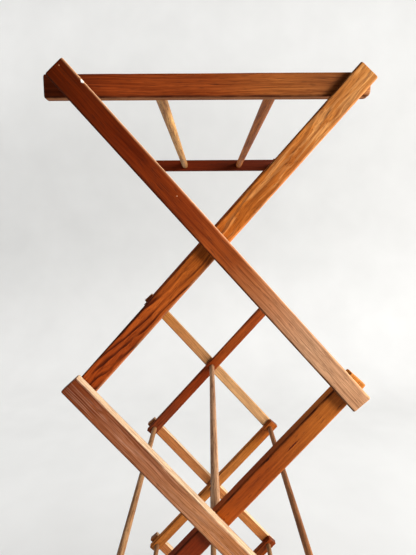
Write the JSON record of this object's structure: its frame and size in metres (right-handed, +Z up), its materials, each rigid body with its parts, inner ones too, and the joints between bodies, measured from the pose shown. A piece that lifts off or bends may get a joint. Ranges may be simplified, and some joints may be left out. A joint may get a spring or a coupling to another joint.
{
  "type": "clothes drying rack",
  "caption": "Free-standing wooden accordion rack: zigzag slat frames joined by round dowels to hang laundry on, with hinged top rails that hook it open.",
  "frame": {"origin": "on the floor, under the middle of the open rack", "axes": "+Z up, +X to the right with the shelf's hook on the left, +Y along the dowels from the front frame to the back frame"},
  "size_m": [0.4128, 0.706, 1.5977],
  "materials": {
    "outer_slats": "satin oiled reddish brown hardwood, straight grain, lower tiers lighter",
    "inner_slats": "satin golden to orange brown wood with bold grain",
    "shelf_rails": "satin medium brown wood, fine straight grain",
    "dowels": "smooth pale tan turned wood"
  },
  "bodies": {
    "foot": {"foot_dowel_right": "dowels"},
    "outer_4": {"outer_bar_front_4": "outer_slats", "outer_bar_back_4": "outer_slats", "crossing_dowel_4": "dowels", "left_dowel_3": "dowels"},
    "inner_4": {"inner_bar_front_4": "inner_slats", "inner_bar_back_4": "inner_slats", "foot_dowel_left": "dowels"},
    "outer_3": {"outer_bar_front_3": "outer_slats", "outer_bar_back_3": "outer_slats", "crossing_dowel_3": "dowels", "left_dowel_2": "dowels", "right_dowel_3": "dowels"},
    "inner_3": {"inner_bar_front_3": "inner_slats", "inner_bar_back_3": "inner_slats"},
    "outer_2": {"outer_bar_front_2": "outer_slats", "outer_bar_back_2": "outer_slats", "crossing_dowel_2": "dowels", "left_dowel_1": "dowels", "right_dowel_2": "dowels"},
    "inner_2": {"inner_bar_front_2": "inner_slats", "inner_bar_back_2": "inner_slats"},
    "outer_1": {"outer_bar_front_1": "outer_slats", "outer_bar_back_1": "outer_slats", "crossing_dowel_1": "dowels", "top_dowel_left": "dowels", "right_dowel_1": "dowels"},
    "inner_1": {"inner_bar_front_1": "inner_slats", "inner_bar_back_1": "inner_slats", "top_dowel_right": "dowels"},
    "shelf": {"shelf_rail_front": "shelf_rails", "shelf_rail_back": "shelf_rails", "shelf_dowel_left": "dowels", "shelf_dowel_right": "dowels"}
  },
  "joints": [
    {"name": "fold", "type": "hinge", "parent": "foot", "child": "outer_4", "pos_m": [0.17498, 0, 0.02423], "axis": [0, -1, 0], "range_deg": [0, 44.1]},
    {"name": "crossing_4", "type": "hinge", "parent": "outer_4", "child": "inner_4", "pos_m": [0, 0, 0.21788], "axis": [0, -1, 0], "range_deg": [-88.2, 0]},
    {"name": "right_pivot_3", "type": "hinge", "parent": "inner_4", "child": "outer_3", "pos_m": [0.17498, 0, 0.41154], "axis": [0, -1, 0], "range_deg": [0, 88.2]},
    {"name": "crossing_3", "type": "hinge", "parent": "outer_3", "child": "inner_3", "pos_m": [0, 0, 0.60519], "axis": [0, -1, 0], "range_deg": [-88.2, 0]},
    {"name": "right_pivot_2", "type": "hinge", "parent": "inner_3", "child": "outer_2", "pos_m": [0.17498, 0, 0.79885], "axis": [0, -1, 0], "range_deg": [0, 88.2]},
    {"name": "crossing_2", "type": "hinge", "parent": "outer_2", "child": "inner_2", "pos_m": [0, 0, 0.9925], "axis": [0, -1, 0], "range_deg": [-88.2, 0]},
    {"name": "right_pivot_1", "type": "hinge", "parent": "inner_2", "child": "outer_1", "pos_m": [0.17498, 0, 1.18616], "axis": [0, -1, 0], "range_deg": [0, 88.2]},
    {"name": "crossing_1", "type": "hinge", "parent": "outer_1", "child": "inner_1", "pos_m": [0, 0, 1.37982], "axis": [0, -1, 0], "range_deg": [-88.2, 0]},
    {"name": "shelf_lift", "type": "hinge", "parent": "inner_1", "child": "shelf", "pos_m": [0.17498, 0, 1.57347], "axis": [0, 1, 0], "range_deg": [0, 110]}
  ],
  "couplings": [
    {"joint": "crossing_4", "follows": "fold", "ratio": -2},
    {"joint": "right_pivot_3", "follows": "fold", "ratio": 2},
    {"joint": "crossing_3", "follows": "fold", "ratio": -2},
    {"joint": "right_pivot_2", "follows": "fold", "ratio": 2},
    {"joint": "crossing_2", "follows": "fold", "ratio": -2},
    {"joint": "right_pivot_1", "follows": "fold", "ratio": 2},
    {"joint": "crossing_1", "follows": "fold", "ratio": -2}
  ]
}
